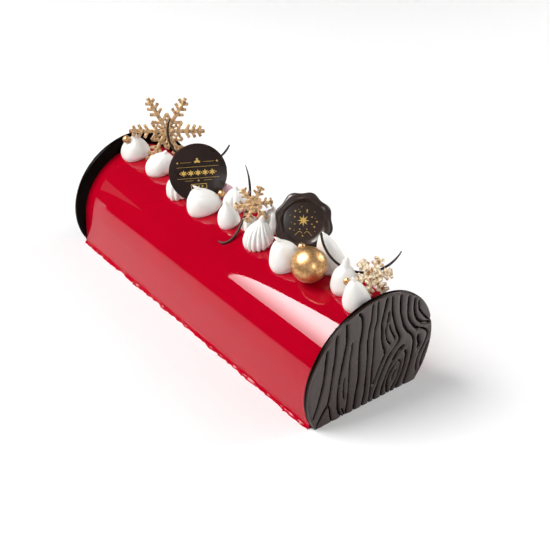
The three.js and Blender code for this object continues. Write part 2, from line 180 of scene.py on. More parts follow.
def red_mirror_glaze():
    """Gelatine and cocoa-butter glaze, poured: a deep saturated red under a wet clear skin, so the
    colour is even and all the life is in sharp reflections."""
    material, tree, shader, place = start_material(
        "poured red mirror glaze", Roughness=0.3, Specular_IOR_Level=0.0, Coat_Weight=1.0,
        Coat_Roughness=0.02, Coat_IOR=1.38)
    depth = add_node(tree, "ShaderNodeTexNoise", {"Vector": place, "Scale": 22.0, "Detail": 2.0})
    colour = mix_colours(tree, depth.outputs["Fac"], "#A8001C", "#B2001F")
    tree.links.new(colour, shader.inputs["Base Color"])
    # Fine air bubbles just under the skin, about 0.4 mm wide and some 6 mm apart.
    bubbles = add_node(tree, "ShaderNodeTexVoronoi", {"Vector": place, "Scale": 165.0})
    dots = add_node(tree, "ShaderNodeMapRange", {
        "Value": bubbles.outputs["Distance"], "From Min": 0.03, "From Max": 0.075,
        "To Min": 1.0, "To Max": 0.0})
    bump = add_node(tree, "ShaderNodeBump", {
        "Height": dots.outputs["Result"], "Strength": 0.25, "Distance": 0.0001})
    tree.links.new(bump.outputs["Normal"], shader.inputs["Normal"])
    return material


glaze = red_mirror_glaze()
finish_piece(make_log(), "poured_glaze_log", glaze, "red_mirror_glaze", "glazed_log", sharp=50)

# Beads of glaze and burst bubbles along both feet.
bm = bmesh.new()
for i in range(BEAD_COUNT):
    side = -1 if i % 2 else 1
    x = -110 + 2.3 * i + 1.4 * sin(7.7 * i)
    size = 0.35 + 0.3 * (0.5 + 0.5 * sin(12.9 * i)) ** 2
    y = side * (LOG_HALF_WIDTH + foot_reach(x, side) * (0.55 + 0.3 * sin(5.1 * i)))
    made = bmesh.ops.create_icosphere(bm, subdivisions=2, radius=size)
    bmesh.ops.scale(bm, vec=(1.3, 1, 0.8), verts=made["verts"])
    bmesh.ops.translate(bm, vec=(x, y, 0.8 * size), verts=made["verts"])
finish_piece(bm, "glaze_beads", glaze, "red_mirror_glaze")

# ---- End discs -----------------------------------------------------------------------------------
# Tempered dark chocolate cast on a wood-grain relief mat and stamped out round, with one flat side
# to stand on. Narrow grooves part broad flat ridges, run round an eye and close in loops on a knot.

DISC_HALF_WIDTH = 46.0
DISC_HALF_HEIGHT = 45.2
DISC_CENTRE_Z = 25.4
DISC_THICKNESS = 3.0
DISC_GRID = (300, 226)
GRAIN_DEPTH = 1.3
GRAIN_MARGIN = 2.4  # the cuts run out this far from the edge
RIDGE_TOP = (LOG_LENGTH / 2 + DISC_THICKNESS - 0.25) / 1000  # in metres, as the material reads it
CUT_FLOOR = RIDGE_TOP - 0.0009

# Each groove of the mat: its half width, then the points y, z that it runs through.
GROOVES = [
    (0.9, [(-37.5, 52.5), (-42.5, 46), (-44, 37), (-45.3, 27), (-44, 17), (-42, 9.5), (-40.5, 6),
           (-38, 0)]),
    (0.75, [(-34.7, 51), (-34.7, 44), (-34.7, 37), (-35, 29.5), (-36.2, 22), (-37.7, 14.5), (-40, 7.5)]),
    (0.7, [(-29, 59), (-28.8, 52), (-28.5, 44), (-28.8, 35), (-29.3, 19.5), (-30, 13.5), (-32, 10.5),
           (-34.5, 6), (-37.6, 0)]),
    (0.4, [(-29.7, 12.5), (-28.3, 9), (-27.3, 4.5), (-26, 0)]),
    (0.8, [(-23, 63), (-22, 57), (-21.3, 50.5), (-21.8, 44), (-22.3, 37), (-23, 30), (-23.5, 23)]),
    (0.65, [(-23.5, 23), (-23.3, 16), (-22.5, 9.5), (-21.5, 5), (-19.5, 1), (-18.5, 0)]),
    (0.5, [(-17.3, 48.5), (-17, 44), (-17.3, 37), (-16.8, 30), (-16.3, 23), (-15.5, 9.5), (-15.8, 0)]),
    (0.4, [(-19.8, 27), (-19.8, 22), (-19.3, 16), (-18.5, 12)]),
    (0.35, [(-19.5, 6), (-17.5, 2), (-16.8, 0)]),
    (0.8, [(-15, 66), (-12.5, 63), (-11.3, 59), (-10.8, 53), (-11, 44), (-10.3, 35), (-9.3, 27), (-9, 20),
           (-9.5, 12), (-9.8, 0)]),
    (0.6, [(-5.5, 69), (-5, 58), (-5.5, 52), (-5.5, 44), (-4.5, 37), (-3.8, 29.5), (-3.3, 22), (-2.8, 9),
           (-3.8, 0)]),
    (0.55, [(-1.8, 69), (-0.5, 57), (-1.3, 51), (-0.8, 44), (0, 37), (0.5, 29.5), (0.8, 22), (1.5, 12),
            (1.3, 0)]),
    (0.75, [(5, 69), (4.5, 62.5), (3.8, 57), (3.5, 52), (4.5, 47), (5.5, 41), (6.8, 37), (8.5, 33),
            (9.5, 29.5)]),
    (0.6, [(9.5, 29.5), (7.5, 25), (5.8, 20), (4.5, 15.5), (3.2, 12.6), (1.6, 11)]),
    (0.7, [(7.6, 58.5), (7.9, 54.5), (7.5, 51)]),
    (0.4, [(7.5, 51), (7.2, 47), (8, 43), (9.5, 39), (12.5, 35)]),
    (0.4, [(9.3, 49.5), (10.8, 46), (13, 42), (15, 39), (15.3, 37)]),
    (0.7, [(8.5, 69), (9.5, 63), (10.5, 57.5), (12, 53), (14, 48), (16, 43.5), (18.5, 39), (19.5, 36),
           (18, 33), (15, 29.5)]),
    (0.75, [(15, 29.5), (12.5, 26), (10.5, 21.5), (8.5, 15.5), (7, 10), (5.5, 4.5), (5.3, 0)]),
    (0.7, [(15.3, 68), (15.8, 62.5), (16.5, 58), (17.5, 53.5), (19.5, 48.5), (21.5, 44), (24.5, 39.5),
           (27.5, 36.5), (30, 33.5), (31.5, 29.5), (32, 24.5), (32, 19.5), (31.5, 14.5), (28.5, 0)]),
    (0.75, [(22, 65), (22.3, 59), (22.8, 55), (23.5, 50.5), (25.5, 46), (28, 42.5), (31, 39), (34, 37)]),
    (0.45, [(34, 37), (37, 36), (40.5, 33.5), (42.5, 30.5), (42, 27), (40.5, 23), (38, 18), (37, 13),
            (37.5, 6)]),
    (0.75, [(27, 63), (27.3, 57.5), (27.8, 53), (29, 49), (31, 45), (34, 42), (37, 40), (44.5, 38)]),
    (0.45, [(30.3, 59), (31.5, 52), (33.5, 48.5), (37, 44.5), (40, 41.5), (42.5, 40.2)]),
    (1.0, [(34.6, 32.5), (35.8, 28), (36.8, 25.5), (36.3, 22.5)]),
    (0.6, [(45, 25), (43, 19.5), (41.5, 14.5), (40.8, 10), (41.4, 5)]),
    (0.55, [(10.8, 0), (11, 5), (11.5, 8.5), (13, 13.5), (14.5, 17.5), (16.5, 21.5)]),
    (1.0, [(16.5, 21.5), (18.5, 25), (21, 28), (24, 29.6)]),
    (0.55, [(15.5, 0), (14.8, 4.5), (14.5, 8.5), (15.5, 13), (17.5, 16.5), (19.5, 19), (21.5, 20.5),
            (23.3, 18.5), (23.5, 15.5), (23, 12), (22, 8), (20, 4), (18, 0)]),
    (0.5, [(20.4, 14.5), (18.8, 12), (18.2, 8.6)]),
    (0.8, [(25.4, 25.8), (27, 23), (27, 19), (26.8, 14.5), (25.8, 10), (24.5, 6), (22, 0)]),
]


def flowing_points(knots, steps):
    """Points of a smooth curve through the given ones."""
    knots = [2 * Vector(knots[0]) - Vector(knots[1])] + [Vector(k) for k in knots]
    knots.append(2 * knots[-1] - knots[-2])
    points = []
    for a, b, c, d in zip(knots, knots[1:], knots[2:], knots[3:]):
        for i in range(steps):
            t = i / steps
            points.append(0.5 * (2 * b + (c - a) * t + (2 * a - 5 * b + 4 * c - d) * t ** 2
                                 + (3 * b - a - 3 * c + d) * t ** 3))
    return points + [knots[-2]]


def lay_grooves():
    """Every groove as close points for a nearest-point search, and the half width at each."""
    marks = []
    for wide, knots in GROOVES:
        points = flowing_points(knots, 24)
        for order, point in enumerate(points):
            taper = min(1, 0.45 + 0.12 * order, 0.45 + 0.12 * (len(points) - 1 - order))
            marks.append((point, wide * taper * (1 + 0.18 * noise.noise(Vector((*point / 4, 1.3))))))
    tree = kdtree.KDTree(len(marks))
    for order, (point, _) in enumerate(marks):
        tree.insert((*point, 0), order)
    tree.balance()
    return tree, [wide for _, wide in marks]


def make_disc(chipped):
    """One disc, grained side out, against the end of the log; the near one has lost a chip."""
    bm = bmesh.new()
    bmesh.ops.create_grid(bm, x_segments=DISC_GRID[0], y_segments=DISC_GRID[1], size=1.0)
    grooves, widths = lay_grooves()
    flat_angle = asin(DISC_CENTRE_Z / DISC_HALF_HEIGHT)
    # The grid's rows become chords of the disc, from its flat foot to its top.
    for v in bm.verts:
        turn = -flat_angle + (pi / 2 + flat_angle) * (v.co.y + 1) / 2
        y = v.co.x * DISC_HALF_WIDTH * cos(turn)
        z = DISC_CENTRE_Z + DISC_HALF_HEIGHT * sin(turn)
        radial = hypot(y / DISC_HALF_WIDTH, (z - DISC_CENTRE_Z) / DISC_HALF_HEIGHT)
        inset = DISC_HALF_WIDTH * (1 - radial)
        _, order, away = grooves.find((y, z, 0))
        wide = widths[order]
        groove = exp(-(away / wide) ** 2) + 0.22 * exp(-(away / (wide + 1.3)) ** 2)
        uneven = 0.85 + 0.25 * noise.noise(Vector((y / 7, z / 11, 2.1)))
        margin = min(max((inset - 0.5) / GRAIN_MARGIN, 0), 1)
        drop = GRAIN_DEPTH * groove * uneven * margin
        drop += 0.1 * (1 + noise.noise(Vector((y / 6, z / 16, 5.5)))) + 0.5 * max(1 - inset / 0.8, 0) ** 2
        if chipped:
            drop += 1.0 * exp(-((y - 44.0) / 1.7) ** 2 - ((z - 40) / 1.5) ** 2)
        v.co = (DISC_THICKNESS - min(drop, DISC_THICKNESS - 0.5), y, max(z, 0))
    bmesh.ops.remove_doubles(bm, verts=bm.verts, dist=0.001)
    bmesh.ops.dissolve_degenerate(bm, edges=bm.edges, dist=0.0005)
    # The rim goes back square and is drawn in at the back face.
    for depth, inset in ((0.35, 0.0), (0.0, 0.4)):
        rim = [e for e in bm.edges if e.is_boundary]
        grown = bmesh.ops.extrude_edge_only(bm, edges=rim)["geom"]
        for v in [g for g in grown if isinstance(g, bmesh.types.BMVert)]:
            pull = 1 - inset / DISC_HALF_WIDTH
            v.co = (depth, v.co.y * pull, (v.co.z - DISC_CENTRE_Z) * pull + DISC_CENTRE_Z)
            v.co.z = max(v.co.z, 0)
    bmesh.ops.contextual_create(bm, geom=[e for e in bm.edges if e.is_boundary])
    bmesh.ops.translate(bm, vec=(LOG_LENGTH / 2, 0, 0), verts=bm.verts)
    return bm


def tempered_dark_chocolate(name, colour, bloom, roughness, grain=0.35, shine=1.0):
    """Dark couverture, cast: a brown close to black with a satin skin that catches soft light, and
    a little cocoa-butter bloom that greys it unevenly."""
    material, tree, shader, place = start_material(
        name, IOR=1.46, Coat_Weight=0.4 * shine, Coat_Roughness=0.16, Specular_IOR_Level=0.5 * shine)
    cloud = add_node(tree, "ShaderNodeTexNoise", {"Vector": place, "Scale": 55.0, "Detail": 5.0})
    colour = mix_colours(tree, cloud.outputs["Fac"], colour, bloom)
    tree.links.new(colour, shader.inputs["Base Color"])
    patchy = add_node(tree, "ShaderNodeMapRange", {
        "Value": cloud.outputs["Fac"], "From Min": 0.3, "From Max": 0.7,
        "To Min": roughness - 0.05, "To Max": roughness + 0.08})
    tree.links.new(patchy.outputs["Result"], shader.inputs["Roughness"])
    # The skin's fine orange peel, about 0.8 mm across.
    peel = add_node(tree, "ShaderNodeTexNoise", {"Vector": place, "Scale": 900.0, "Detail": 3.0})
    bump = add_node(tree, "ShaderNodeBump", {
        "Height": peel.outputs["Fac"], "Strength": grain, "Distance": 0.00012})
    tree.links.new(bump.outputs["Normal"], shader.inputs["Normal"])
    return material


cast_chocolate = tempered_dark_chocolate("cast dark chocolate, satin", "#24130C", "#301C14", 0.26,
                                         grain=0.15)
# Only the ridges are polished. The open side of the mould and the cuts set dull. The colour carries
# painted shade:
# it is painted almost black down in the cuts and on the open side, and a little lighter on the ridge
# tops.
tree = cast_chocolate.node_tree
shader = tree.nodes["Principled BSDF"]
along = add_node(tree, "ShaderNodeSeparateXYZ", {
    "Vector": add_node(tree, "ShaderNodeTexCoord").outputs["Object"]})
outward = add_node(tree, "ShaderNodeMath", {0: along.outputs["X"]}, operation="ABSOLUTE")
cut_to_ridge = {"Value": outward.outputs["Value"], "From Min": CUT_FLOOR, "From Max": RIDGE_TOP}
for socket, dull, polished in (("Coat Weight", 0.02, 0.32), ("Specular IOR Level", 0.025, 0.4)):
    shine = add_node(tree, "ShaderNodeMapRange", {**cut_to_ridge, "To Min": dull, "To Max": polished})
    tree.links.new(shine.outputs["Result"], shader.inputs[socket])
# Painted shade: the colour falls to 0.12 of itself in the cuts and on the open side, and rises to 1.15 on
# the ridge tops.
painted_cut_shade = add_node(tree, "ShaderNodeMapRange", {**cut_to_ridge, "To Min": 0.12, "To Max": 1.15})
painted_shade_colour = add_node(tree, "ShaderNodeVectorMath", {
    0: shader.inputs["Base Color"].links[0].from_socket, 1: painted_cut_shade.outputs["Result"]},
    operation="MULTIPLY")
tree.links.new(painted_shade_colour.outputs["Vector"], shader.inputs["Base Color"])
finish_piece(make_disc(True), "grained_disc_near", cast_chocolate, "dark_chocolate",
             "end_disc_near", sharp=60)
finish_piece(make_disc(False), "grained_disc_far", cast_chocolate, "dark_chocolate",
             "end_disc_far", sharp=60, turned=Matrix.Rotation(pi, 4, "Z"))

# ---- Meringue kisses -----------------------------------------------------------------------------
# Swiss meringue piped straight onto the set glaze: each is one press of the bag, a full foot that
# draws up into a soft peak. A plain nozzle leaves it smooth and a star nozzle pleats it.

KISS_RINGS = 46
KISS_SIDES = 84
SIDES_PER_RIDGE = 12
RIDGE_DEPTH = 0.17
RIDGE_TWIST = 0.35
SEAT_DEPTH = 0.1

# x, y, radius, height and the lean of the tip in x and y, then what differs from an ordinary kiss.
# full: how square its shoulders are; shoulder: the share of the height that they reach; close: how
# gently they run out into the peak; tip: how wide the peak is; bend: how late it leans; ridges: the
# teeth of a star nozzle; stretch and heading: an oval foot; fold: the height of a crease.
KISSES = {
    "kiss_01": (-103.9, -6.8, 9.7, 16.7, (0, -1), {"shoulder": 0.76}),
    "kiss_02": (-77.4, -6.4, 9.3, 14.5, (3, 3), {"full": 2.7}),
    "kiss_03": (-47.6, -10.8, 9.2, 15, (1, 1), {"ridges": 13}),
    "kiss_04": (-22.8, -10.6, 9, 15.2, (-4.5, -5.5),
                {"full": 2.8, "bend": 4, "stretch": 1.2, "heading": 50, "fold": 0.62}),
    "kiss_05": (-11.3, 4.1, 8.6, 15, (0, 0), {"ridges": 8}),
    "kiss_06": (-0.3, -9, 6.9, 14.6, (-1.6, -1.9),
                {"full": 2.6, "shoulder": 0.96, "close": 1.25}),
    "kiss_07": (26.9, -8.9, 9.2, 18, (1, 1),
                {"full": 2.1, "shoulder": 0.84, "close": 0.8, "ridges": 16}),
    "kiss_08": (20, 6.8, 8.2, 15.5, (0, 0), {"ridges": 9}),
    "kiss_09": (12.6, -3, 6.2, 9, (0, 0), {"ridges": 8}),
    "kiss_10": (52.3, -9.9, 9.3, 17, (-4.5, -5.5), {"full": 2.8, "bend": 4}),
    "kiss_11": (72.4, 7.6, 9.4, 22.5, (-6.4, -4.4), {"full": 1.3, "shoulder": 0.97, "bend": 1.2}),
    "kiss_12": (90.9, -2.1, 7.2, 20.9, (0.1, 0.1), {"full": 2.9, "shoulder": 0.74, "tip": 1.5}),
    "kiss_13": (105.4, -5.4, 8.2, 17.3, (-2.4, -2.9), {"full": 1.5, "shoulder": 0.88}),
    "kiss_14": (-29.6, 9.4, 6.6, 8.2, (0.7, 0.9), {}),
    "kiss_15": (-56, 8.5, 8.6, 15.5, (1, 0), {}),
    "kiss_16": (37, 18, 8.4, 17, (0, -1), {}),
}


def turn_profile(outline, steps, cuts=0):
    """A profile of radius and height, spun round Z; cuts divides each length of it further."""
    bm = bmesh.new()
    chain = [bm.verts.new((r, 0, z)) for r, z in outline]
    edges = [bm.edges.new(pair) for pair in zip(chain, chain[1:])]
    if cuts:
        bmesh.ops.subdivide_edges(bm, edges=edges[1:-1], cuts=cuts)
    bmesh.ops.spin(bm, geom=bm.verts[:] + bm.edges[:], cent=(0, 0, 0), axis=(0, 0, 1), angle=2 * pi,
                   steps=steps, use_merge=True)
    bmesh.ops.remove_doubles(bm, verts=bm.verts, dist=0.0005)
    return bm


def kiss_width(level, full, shoulder, close, tip):
    """Half width at a share of the height: a dome that runs out into a narrow peak."""
    dome = max(1 - (level / shoulder) ** full, 0) ** close
    peak = 0.62 * tip * level * max(1 - level, 0) ** 0.55
    foot = 1 - 0.17 * (1 - min(level / 0.22, 1)) ** 2
    return foot * cbrt(dome ** 3 + peak ** 3)


def make_kiss(x, y, radius, height, peak, seed, full=2.2, shoulder=0.86, bend=1.6, ridges=0,
              stretch=1.0, heading=0, fold=0.0, close=0.6, tip=1.0):
    """One kiss on the glaze, turned from its profile, then pleated, creased, leant and draped."""
    levels = [1 - (1 - i / KISS_RINGS) ** 1.25 for i in range(KISS_RINGS + 1)]
    outline = [(0, 0), (0.5 * radius, 0)]
    outline += [(kiss_width(t, full, shoulder, close, tip) * radius, t * height) for t in levels[:-1]]
    outline.append((0, height))
    bm = turn_profile(outline, SIDES_PER_RIDGE * ridges if ridges else KISS_SIDES)
    along = Vector((cos(radians(heading)), sin(radians(heading))))
    for v in bm.verts:
        level = min(max(v.co.z / height, 0), 1)
        flat = Vector((v.co.x, v.co.y))
        angle = atan2(v.co.x, -v.co.y)
        if ridges:
            groove = 1 - abs(sin(0.5 * ridges * angle)) ** 0.8
            flat *= 1 - RIDGE_DEPTH * groove * (1 - 0.35 * level)
            flat.rotate(Matrix.Rotation(-RIDGE_TWIST * level, 2))
            foot = 1 - min(level / 0.12, 1)
            flat *= 1 + 0.03 * foot * (1 - groove) * sin(3.3 * angle + seed)
        if fold:
            line = fold + 0.07 * cos(angle - 1.2)
            away = (level - line) / 0.045
            reach = max(cos(0.5 * (angle - 1.3)), 0)
            flat *= 1 - reach * 0.05 * exp(-away * away) + reach * 0.03 * exp(-((away - 2) / 2) ** 2)
        spot = Vector((flat.x / 5.5 + seed, flat.y / 5.5, v.co.z / 6.5))
        flat *= 1 + 0.035 * noise.noise(spot) * min(4 * level + 0.3, 1)
        flat += (stretch - 1) * flat.dot(along) * along
        pull = level ** bend
        at = Vector((x + flat.x + peak[0] * pull, y + flat.y + peak[1] * pull))
        drape = min(3 * level, 1)
        seat = (1 - drape) * crown_height(at.y) + drape * crown_height(y)
        v.co = (at.x, at.y, seat - SEAT_DEPTH + v.co.z * (1 + 0.012 * noise.noise(spot * 0.7)))
    return bm


def baked_meringue(name, colour, shade):
    """Sugar and egg white, dried on the outside: a bright matt skin with a faint powdery grain,
    and light that goes a little way in and softens the shadows."""
    material, tree, shader, place = start_material(
        name, Roughness=0.5, IOR=1.45, Subsurface_Weight=0.35, Subsurface_Scale=0.0014)
    shader.inputs["Subsurface Radius"].default_value = (1.0, 0.75, 0.6)
    cloud = add_node(tree, "ShaderNodeTexNoise", {"Vector": place, "Scale": 160.0, "Detail": 3.0})
    colour = mix_colours(tree, cloud.outputs["Fac"], shade, colour)
    tree.links.new(colour, shader.inputs["Base Color"])
    # Pores about half a millimetre apart, a little coarser than real ones so that they show.
    pores = add_node(tree, "ShaderNodeTexNoise", {"Vector": place, "Scale": 1100.0, "Detail": 4.0})
    bump = add_node(tree, "ShaderNodeBump", {
        "Height": pores.outputs["Fac"], "Strength": 0.16, "Distance": 0.00015})
    tree.links.new(bump.outputs["Normal"], shader.inputs["Normal"])
    return material


white_meringue = baked_meringue("baked white meringue, matt", "#ECEBE8", "#E3E1DC")
pink_meringue = baked_meringue("baked pale pink meringue, matt", "#E9C6CE", "#DDB2BC")
for order, (node, (x, y, radius, height, peak, more)) in enumerate(KISSES.items()):
    pink = node == "kiss_14"
    finish_piece(make_kiss(x, y, radius, height, peak, 2.7 * order, **more),
                 node.replace("kiss", "piped_meringue"),
                 pink_meringue if pink else white_meringue,
                 "pink_meringue" if pink else "meringue", node, sharp=0)

# ---- Gilded snowflakes ---------------------------------------------------------------------------
# Dark chocolate cast in a snowflake mould, two millimetres thick with soft edges, unmoulded and
# brushed with edible gold lustre. They are pushed upright between the kisses.

TWIG_ANGLE = radians(60)
SMOOTHINGS = 3
COARSE_SKIN = 0.26
FINE_SKIN = 0.18

# place, bearing, lean, roll; thickness, reach, width of arm and twig, reach of the star as a share of
# the arms' reach, radius of the solid hub, and place and length of each pair of twigs as such shares.
SNOWFLAKES = {
    "snowflake_far": ((-88.7, 7.1, 80.3), -34, 25, 1, 2.0, 24.6, 2.5, 2.0, 0.5, 4.2,
                      ((0.48, 0.2), (0.64, 0.19), (0.8, 0.16))),
    "snowflake_middle": ((14.2, -3.2, 77.9), -40, 29, 11, 2.0, 11.4, 2.1, 1.4, 0.5, 4.4,
                         ((0.52, 0.3), (0.78, 0.25))),
    "snowflake_near": ((100.7, 9.3, 71), -32, 27, 10, 2.8, 10.9, 2.3, 1.6, 0.54, 4.2,
                       ((0.54, 0.33), (0.8, 0.28))),
}


def stand_at(place, bearing, lean, roll=0):
    """Sets a flat piece, drawn in x and y, upright with its face to a bearing, tipped back."""
    face = Vector((cos(radians(lean)) * cos(radians(bearing)),
                   cos(radians(lean)) * sin(radians(bearing)), sin(radians(lean))))
    up = (Vector((0, 0, 1)) - face * face.z).normalized()
    turned = Matrix((up.cross(face), up, face)).transposed().to_4x4()
    return Matrix.Translation(place) @ turned @ Matrix.Rotation(radians(roll), 4, "Z")


def add_bar(bm, start, end, wide, thick):
    """A straight bar between two points of the drawing plane."""
    start, end = Vector(start), Vector(end)
    run = end - start
    middle = (start + end) / 2
    turn = Matrix.Rotation(atan2(run.y, run.x), 4, "Z")
    size = Matrix.Diagonal((run.length, wide, thick, 1))
    bmesh.ops.create_cube(bm, size=1.0, matrix=Matrix.Translation((*middle, 0)) @ turn @ size)


def polar(distance, angle):
    """A point of the drawing plane at a distance and an angle from its middle."""
    return (distance * cos(angle), distance * sin(angle))


def melt_together(bm, grain):
    """Fuses overlapping bars into one skin with soft edges, as a cast piece has."""
    rough = bpy.data.meshes.new("rough_casting")
    bm.to_mesh(rough)
    bm.free()
    carrier = bpy.data.objects.new("rough_casting", rough)
    bpy.context.scene.collection.objects.link(carrier)
    remesh = carrier.modifiers.new("fuse", "REMESH")
    remesh.mode = "VOXEL"
    remesh.voxel_size = grain
    bpy.context.view_layer.update()
    solid = carrier.evaluated_get(bpy.context.evaluated_depsgraph_get())
    fused = bpy.data.meshes.new_from_object(solid)
    bpy.data.objects.remove(carrier)
    bm = bmesh.new()
    bm.from_mesh(fused)
    for _ in range(SMOOTHINGS):
        bmesh.ops.smooth_vert(bm, verts=bm.verts, factor=0.5, use_axis_x=True, use_axis_y=True,
                              use_axis_z=True)
    return bm


def make_snowflake(thick, reach, arm, twig, star, hub, twigs, dent, spacing):
    """Six arms with pairs of twigs round a six-pointed star, cast in one and dented by hand."""
    bm = bmesh.new()
    for i in range(6):
        angle = i * TWIG_ANGLE
        add_bar(bm, (0, 0), polar(0.98 * reach, angle), arm, 0.8 * thick)
        add_bar(bm, (0, 0), polar(0.94 * reach, angle), 0.4 * arm, thick)
        for begin, length in twigs:
            foot = Vector(polar(begin * reach, angle))
            for lean in (-TWIG_ANGLE, TWIG_ANGLE):
                tip = foot + Vector(polar(length * reach, angle + lean))
                add_bar(bm, foot, tip, twig, 0.9 * thick)
        point = Vector(polar(star * reach - 0.5 * twig, angle + radians(30)))
        for lean in (0, TWIG_ANGLE):
            root = Vector(polar(0.5 * star * reach, angle + lean))
            add_bar(bm, point, root, twig, 0.95 * thick)
        petal = polar(0.62 * star * reach, angle + radians(30))
        add_bar(bm, (0, 0), petal, 0.8 * twig, 0.75 * thick)
    bmesh.ops.create_cone(bm, cap_ends=True, segments=24, radius1=hub, radius2=hub, depth=0.8 * thick)
    bm = melt_together(bm, COARSE_SKIN if reach > 20 else FINE_SKIN)
    for v in bm.verts:
        out = hypot(v.co.x, v.co.y)
        hammered = noise.noise(Vector((v.co.x / spacing + 3, v.co.y / spacing, out / 3)))
        v.co.z += (1 if v.co.z > 0 else -1) * dent * hammered
    return bm


def gold_lustre(name, shade, bright, roughness, crinkle, size, metal=0.9):
    """Mica lustre dust brushed over chocolate: a metal sheen that is broken up, with the brown
    showing where the brush missed."""
    material, tree, shader, place = start_material(name, Metallic=metal)
    brushed = add_node(tree, "ShaderNodeTexNoise", {"Vector": place, "Scale": size, "Detail": 6.0,
                                                    "Roughness": 0.65})
    worn = add_node(tree, "ShaderNodeMapRange", {
        "Value": brushed.outputs["Fac"], "From Min": 0.36, "From Max": 0.62})
    colour = mix_colours(tree, worn.outputs["Result"], shade, bright)
    tree.links.new(colour, shader.inputs["Base Color"])
    dull = add_node(tree, "ShaderNodeMapRange", {
        "Value": worn.outputs["Result"], "To Min": roughness + 0.14, "To Max": roughness})
    tree.links.new(dull.outputs["Result"], shader.inputs["Roughness"])
    bump = add_node(tree, "ShaderNodeBump", {
        "Height": brushed.outputs["Fac"], "Strength": crinkle, "Distance": 0.0004})
    tree.links.new(bump.outputs["Normal"], shader.inputs["Normal"])
    return material


antique_gold = gold_lustre("brushed antique gold lustre", "#6B4A32", "#DDB684", 0.36, 0.7, 620.0,
                           metal=0.5)
bright_gold = gold_lustre("bright crinkled gold lustre", "#8A5420", "#FFF0CF", 0.3, 0.9, 520.0,
                          metal=0.6)
for node, (place, bearing, lean, roll, *sizes) in SNOWFLAKES.items():
    near = node == "snowflake_near"
    dents = (0.25, 1.3) if near else (0.22, 1.5)  # depth and spacing
    finish_piece(make_snowflake(*sizes, *dents), "gilded_" + node,
                 bright_gold if near else antique_gold, "gold_lustre", node, sharp=0,
                 turned=stand_at(place, bearing, lean, roll))

# ---- Round plaque --------------------------------------------------------------------------------
# A thin disc of dark chocolate cast on a printed acetate sheet, so its face is flat and has a fine
# ornament in gold cocoa butter. It leans on the kisses behind it.

PLAQUE_RADIUS = 17.6
PLAQUE_THICKNESS = 2.2
PRINT_THICKNESS = 0.07
HAIRLINE = 0.16
plaque_stand = stand_at((-37.9, -4.8, 75.9), -36, 27)

half = PLAQUE_THICKNESS / 2
outline = [(0, -half), (PLAQUE_RADIUS - 0.45, -half), (PLAQUE_RADIUS - 0.12, -half + 0.12),
           (PLAQUE_RADIUS, -half + 0.45), (PLAQUE_RADIUS, half - 0.45),
           (PLAQUE_RADIUS - 0.12, half - 0.12), (PLAQUE_RADIUS - 0.45, half), (0, half)]
plaque_chocolate = tempered_dark_chocolate("sheet-cast dark chocolate, glossy", "#1E120F", "#281A16",
                                           0.3, grain=0.12, shine=0.45)
finish_piece(turn_profile(outline, 128), "cast_round_plaque", plaque_chocolate, "dark_chocolate",
             "round_plaque", sharp=50, turned=plaque_stand)


def print_star(bm, x, y, size, points, waist=0.42):
    """A flat star in the drawing plane."""
    made = bmesh.ops.create_circle(bm, cap_ends=True, segments=2 * points, radius=size)
    for v in made["verts"]:
        if round(atan2(v.co.y, v.co.x) * points / pi) % 2:
            v.co *= waist
        v.co = Matrix.Rotation(pi / 2, 3, "Z") @ v.co + Vector((x, y, 0))


def print_line(bm, start, end, wide):
    """A flat printed line in the drawing plane."""
    start, end = Vector(start), Vector(end)
    run = end - start
    across = Vector((-run.y, run.x)).normalized() * wide / 2
    corners = [start - across, end - across, end + across, start + across]
    bm.faces.new([bm.verts.new((*corner, 0)) for corner in corners])


def finish_print(bm, name, colour, turned):
    """Gives printed gold its slight thickness and sets it on its piece."""
    bmesh.ops.recalc_face_normals(bm, faces=bm.faces)
    for face in bm.faces:
        if face.normal.z < 0:
            face.normal_flip()
    grown = bmesh.ops.extrude_face_region(bm, geom=bm.faces[:])["geom"]
    bmesh.ops.translate(bm, vec=(0, 0, PRINT_THICKNESS),
                        verts=[g for g in grown if isinstance(g, bmesh.types.BMVert)])
    finish_piece(bm, name, colour, "gold_lustre", sharp=30, turned=turned)


def gold_print():
    """Gold-coloured cocoa butter, screen printed: a dull bronze film with a weak metal sheen."""
    material, tree, shader, place = start_material("printed gold cocoa butter", Metallic=0.6,
                                                   Roughness=0.42)
    thin = add_node(tree, "ShaderNodeTexNoise", {"Vector": place, "Scale": 1500.0, "Detail": 2.0})
    colour = mix_colours(tree, thin.outputs["Fac"], "#B98F3E", "#E9C873")
    tree.links.new(colour, shader.inputs["Base Color"])
    return material


printed_gold = gold_print()

# Stars in a row between two rules, a crest above them, and a framed row of small stars below.
bm = bmesh.new()
for side in (-1, 1):
    print_line(bm, (3.6 * side, 6.4), (10.2 * side, 6.4), HAIRLINE)
    print_star(bm, 11.9 * side, 6.4, 0.85, 4)
    print_line(bm, (3.2 * side, -4.6), (8.2 * side, -4.6), HAIRLINE)
    for step in (1, 2):
        print_star(bm, 4.3 * side * step, 0, 2.0, 6, 0.5)
    for step in (0.5, 1.5, 2.5):
        print_star(bm, 4.3 * side * step, 0, 0.55, 4, 0.6)
print_star(bm, 0, 0, 2.0, 6, 0.5)
print_star(bm, 0, 6.9, 1.9, 5)
print_line(bm, (-12.6, 3.6), (12.6, 3.6), HAIRLINE)
print_line(bm, (-12.6, -3.2), (12.6, -3.2), HAIRLINE)
print_star(bm, 0, -4.7, 0.8, 4)
box = ((-4.6, -9.6), (4.6, -9.6), (4.6, -6.8), (-4.6, -6.8))
for corner, following in zip(box, box[1:] + box[:1]):
    print_line(bm, corner, following, 0.3)
for step in (-2, 0, 2):
    print_star(bm, step, -8.2, 0.8, 4)
finish_print(bm, "plaque_gold_print", printed_gold,
             plaque_stand @ Matrix.Translation((0, 0, half - 0.02)) @ Matrix.Rotation(radians(6), 4, "Z"))

# ---- Seal plaque ---------------------------------------------------------------------------------
# Dark chocolate cast like a blob of sealing wax pressed with a round stamp: a fat wavy rim round a
# flat sunken face that holds a small gold ornament.

